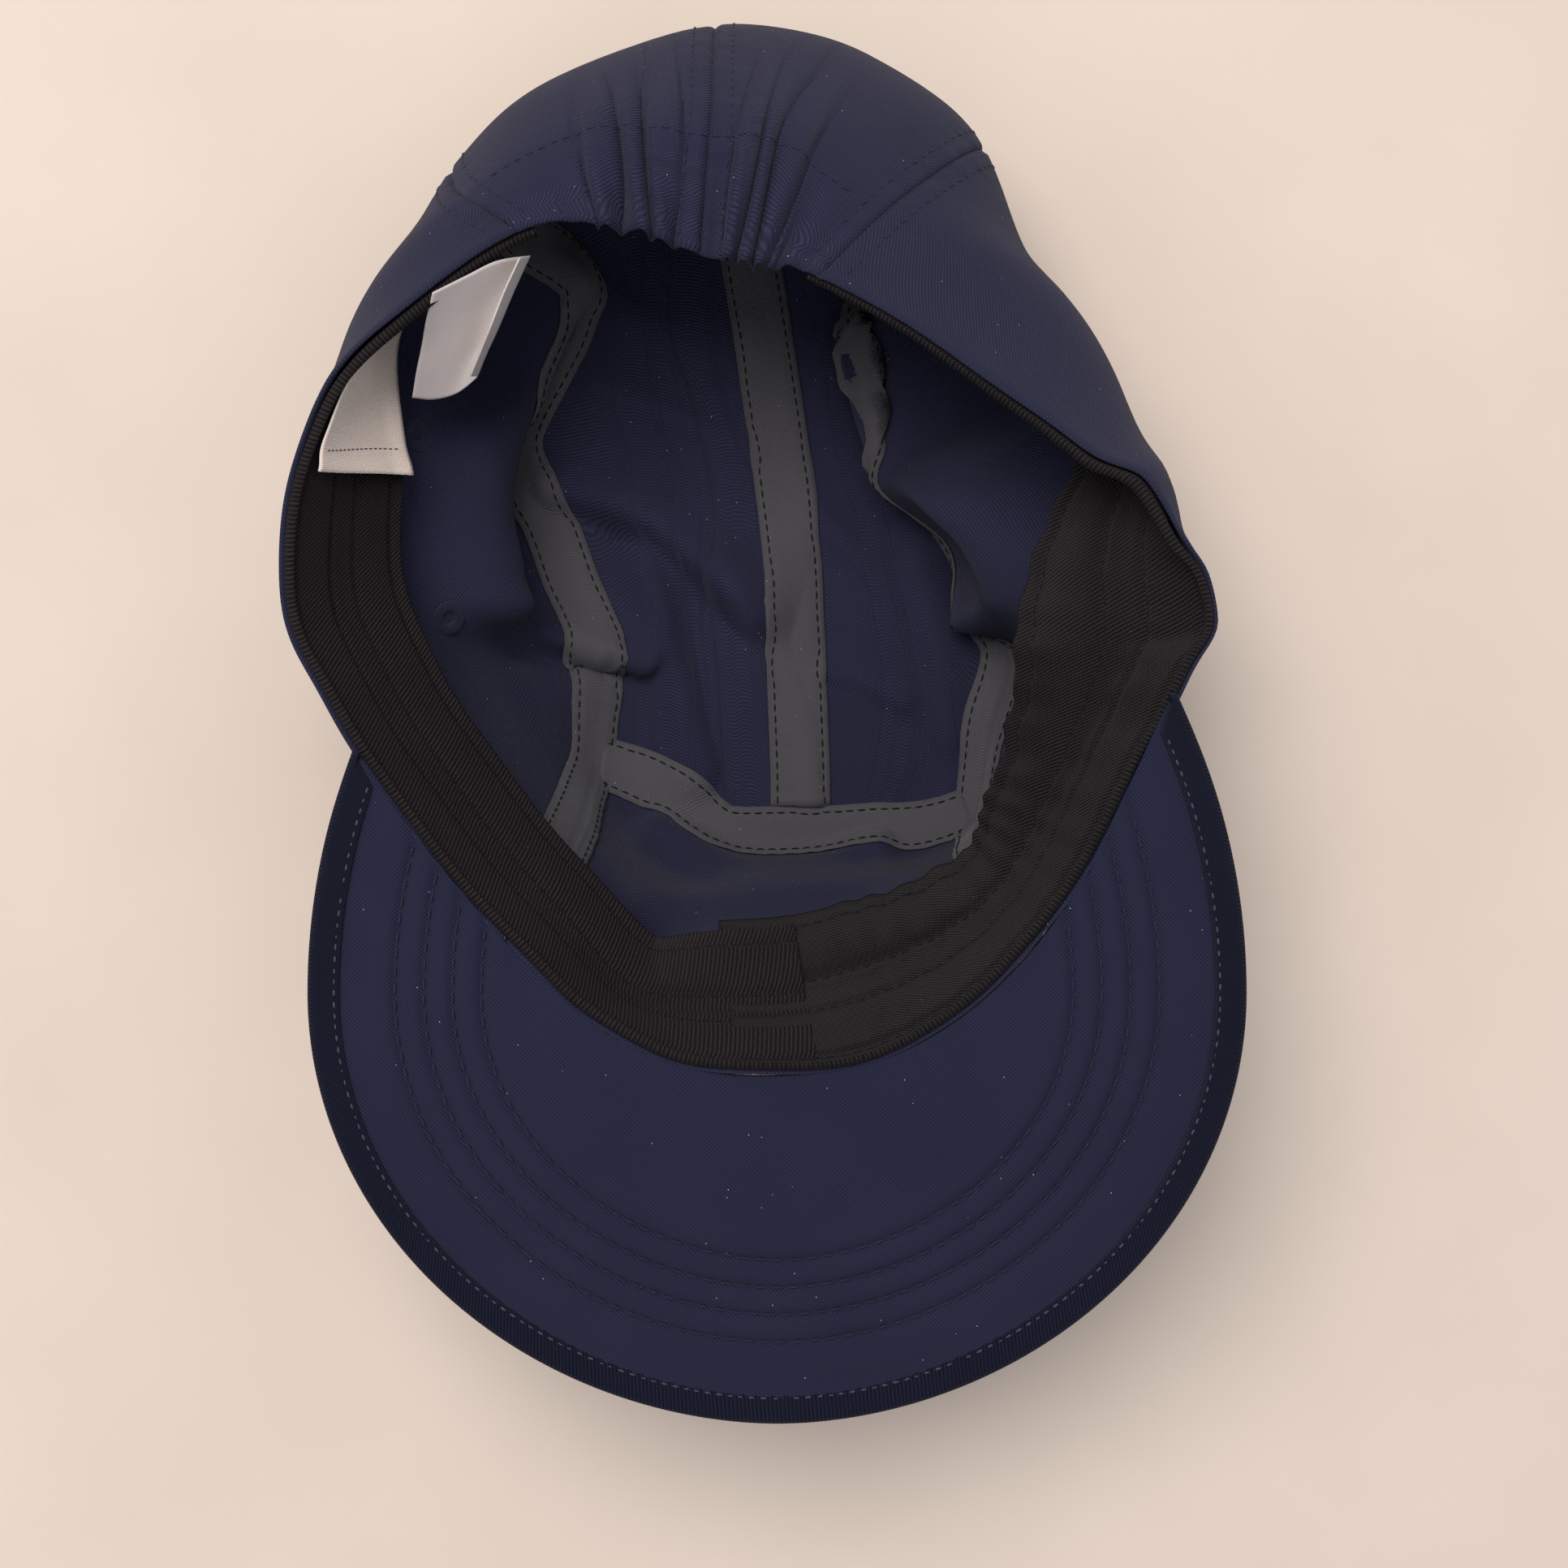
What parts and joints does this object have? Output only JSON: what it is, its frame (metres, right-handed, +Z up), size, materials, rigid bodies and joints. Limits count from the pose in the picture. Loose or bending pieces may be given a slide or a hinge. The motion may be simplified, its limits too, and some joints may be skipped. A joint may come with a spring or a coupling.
{
  "type": "soft five-panel cap",
  "caption": "Soft five-panel cap with a quilted front peak and a gathered elastic back, lying upside down on its crown with the head opening up.",
  "frame": {"origin": "centre of the footprint, on the surface that the crown rests on", "axes": "+Z up out of the head opening, +Y towards the back of the cap, the peak points along -Y"},
  "size_m": [0.194, 0.2962, 0.0815],
  "materials": {
    "crown_cloth": "navy wool-like twill",
    "peak_cloth": "navy twill over a board, with quilted rows",
    "ribbed_binding": "dark navy ribbed binding",
    "band_twill": "brown black coarse twill",
    "seam_tape": "charcoal cotton tape",
    "woven_label": "cream woven label",
    "satin_label": "white satin ribbon",
    "eyelet_thread": "navy embroidery thread"
  },
  "bodies": {
    "root": {"front_panel": "crown_cloth", "side_panel_left": "crown_cloth", "side_panel_right": "crown_cloth", "top_panel_left": "crown_cloth", "top_panel_right": "crown_cloth", "peak": "peak_cloth", "peak_binding": "ribbed_binding", "sweatband": "band_twill", "seam_tape_left": "seam_tape", "seam_tape_right": "seam_tape", "seam_tape_cross": "seam_tape", "seam_tape_centre": "seam_tape", "brand_label": "woven_label", "care_label": "satin_label", "eyelet_left_front": "eyelet_thread", "eyelet_left_back": "eyelet_thread", "eyelet_right_front": "eyelet_thread", "eyelet_right_back": "eyelet_thread"}
  },
  "joints": []
}
